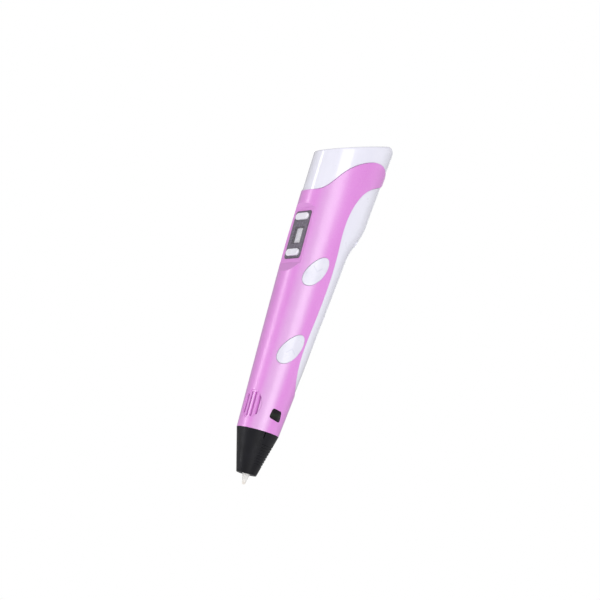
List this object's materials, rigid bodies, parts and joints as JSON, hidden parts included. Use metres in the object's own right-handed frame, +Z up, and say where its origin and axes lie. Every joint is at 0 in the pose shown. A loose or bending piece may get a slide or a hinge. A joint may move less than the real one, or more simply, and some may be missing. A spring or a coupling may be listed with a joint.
{
  "type": "3d printing pen",
  "caption": "Handheld 3D printing pen with a two-shell body, display panel, feed keys, speed slider, push-on nozzle cover, hot end and filament feeder.",
  "frame": {"origin": "centre of the nozzle's outlet", "axes": "+Z up the filament path to the tail, -X the display side, -Y the side with the two oval keys"},
  "size_m": [0.0426, 0.0311, 0.1842],
  "materials": {
    "pink_abs": "moulded, pearl gloss",
    "white_abs": "moulded, gloss",
    "black_nylon": "moulded, satin, ribbed",
    "white_ceramic": "sintered ceramic, satin",
    "grey_acrylic": "screen-printed panel, gloss",
    "clear_acrylic": "polished",
    "lcd_grey": "liquid-crystal glass over a reflector",
    "key_white": "moulded, gloss",
    "smoked_acrylic": "smoked, polished",
    "led_epoxy": "cast epoxy",
    "green_board": "solder mask on glass-epoxy",
    "black_plastic": "moulded",
    "white_nylon": "moulded",
    "ptfe": "extruded, waxy",
    "brass": "machined",
    "steel": "turned and plated",
    "fibreglass": "woven sleeve",
    "alumina": "sintered ceramic",
    "capacitor_sleeve": "shrunk PVC sleeve"
  },
  "bodies": {
    "pen_body": {"front_shell": "pink_abs", "rear_shell": "white_abs", "shell_screws": "steel", "display_bezel": "grey_acrylic", "lcd_window": "clear_acrylic", "lcd_module": "lcd_grey", "display_board": "green_board", "key_domes": "steel", "key_switches": "black_plastic", "key_board": "green_board", "indicator_lens": "smoked_acrylic", "indicator_led": "led_epoxy", "slide_pot": "steel", "slider_board": "green_board", "gearbox_frame": "brass", "gear_pin": "steel", "motor_can": "steel", "motor_end_cap": "white_nylon", "feeder_block": "black_plastic", "lever_pin": "steel", "idler_spring": "steel", "guide_tube": "ptfe", "ceramic_nozzle": "white_ceramic", "heater_barrel": "steel", "heater_sleeve": "alumina", "insulation_sleeve": "fibreglass", "thermistor": "led_epoxy", "hot_end_holder": "white_nylon", "sensor_leads": "ptfe", "tube_coupler": "brass", "filament_bush": "black_plastic", "dc_jack": "black_plastic", "dc_jack_pin": "steel", "main_board": "green_board", "board_chips": "black_plastic", "board_capacitor": "capacitor_sleeve"},
    "nozzle_cover": {"nozzle_cover": "black_nylon"},
    "temp_up_key": {"temp_up_key": "key_white"},
    "temp_down_key": {"temp_down_key": "key_white"},
    "feed_key": {"feed_key": "key_white", "feed_plunger": "black_plastic"},
    "retract_key": {"retract_key": "key_white", "retract_plunger": "black_plastic"},
    "speed_slider": {"speed_slider": "key_white"},
    "motor_rotor": {"motor_rotor": "steel"},
    "gear_first": {"gear_first": "brass"},
    "gear_second": {"gear_second": "brass"},
    "gear_third": {"gear_third": "brass"},
    "output_shaft": {"output_shaft": "steel", "drive_gear": "brass"},
    "idler_lever": {"idler_lever": "black_plastic", "idler_axle": "steel"},
    "idler_bearing": {"idler_bearing": "steel"}
  },
  "joints": [
    {"name": "cover_pull", "type": "slide", "parent": "pen_body", "child": "nozzle_cover", "axis": [0, 0, -1], "range_m": [0, 0.03]},
    {"name": "temp_up_press", "type": "slide", "parent": "pen_body", "child": "temp_up_key", "axis": [1, 0, 0], "range_m": [0, 0.0004], "stiffness_N_per_m": 2500, "springref_m": -0.0001},
    {"name": "temp_down_press", "type": "slide", "parent": "pen_body", "child": "temp_down_key", "axis": [1, 0, 0], "range_m": [0, 0.0004], "stiffness_N_per_m": 2500, "springref_m": -0.0001},
    {"name": "feed_press", "type": "slide", "parent": "pen_body", "child": "feed_key", "axis": [0, 1, 0], "range_m": [0, 0.0006], "stiffness_N_per_m": 2000, "springref_m": -0.0001},
    {"name": "retract_press", "type": "slide", "parent": "pen_body", "child": "retract_key", "axis": [0, 1, 0], "range_m": [0, 0.0006], "stiffness_N_per_m": 2000, "springref_m": -0.0001},
    {"name": "speed_slide", "type": "slide", "parent": "pen_body", "child": "speed_slider", "axis": [0, 0, 1], "range_m": [-0.006, 0.006]},
    {"name": "motor_spin", "type": "hinge", "parent": "pen_body", "child": "motor_rotor", "pos_m": [0, 0.00335, 0.157], "axis": [1, 0, 0], "continuous": true},
    {"name": "gear_first_spin", "type": "hinge", "parent": "pen_body", "child": "gear_first", "pos_m": [0, 0.00335, 0.16015], "axis": [1, 0, 0], "continuous": true},
    {"name": "gear_second_spin", "type": "hinge", "parent": "pen_body", "child": "gear_second", "pos_m": [0, 0.00335, 0.157], "axis": [1, 0, 0], "continuous": true},
    {"name": "gear_third_spin", "type": "hinge", "parent": "pen_body", "child": "gear_third", "pos_m": [0, 0.00335, 0.16015], "axis": [1, 0, 0], "continuous": true},
    {"name": "output_spin", "type": "hinge", "parent": "pen_body", "child": "output_shaft", "pos_m": [0, 0.00335, 0.157], "axis": [1, 0, 0], "continuous": true},
    {"name": "lever_swing", "type": "hinge", "parent": "pen_body", "child": "idler_lever", "pos_m": [0, -0.0044, 0.1482], "axis": [1, 0, 0], "range_deg": [0, 5], "stiffness_Nm_per_rad": 0.2, "springref_deg": -5.73, "deforming": ["idler_spring"]},
    {"name": "bearing_spin", "type": "hinge", "parent": "idler_lever", "child": "idler_bearing", "pos_m": [0, -0.00337, 0.157], "axis": [1, 0, 0], "continuous": true}
  ],
  "couplings": [
    {"joint": "gear_first_spin", "follows": "motor_spin", "ratio": -0.4},
    {"joint": "gear_second_spin", "follows": "motor_spin", "ratio": 0.16},
    {"joint": "gear_third_spin", "follows": "motor_spin", "ratio": -0.064},
    {"joint": "output_spin", "follows": "motor_spin", "ratio": 0.0256},
    {"joint": "bearing_spin", "follows": "motor_spin", "ratio": -0.025395}
  ]
}
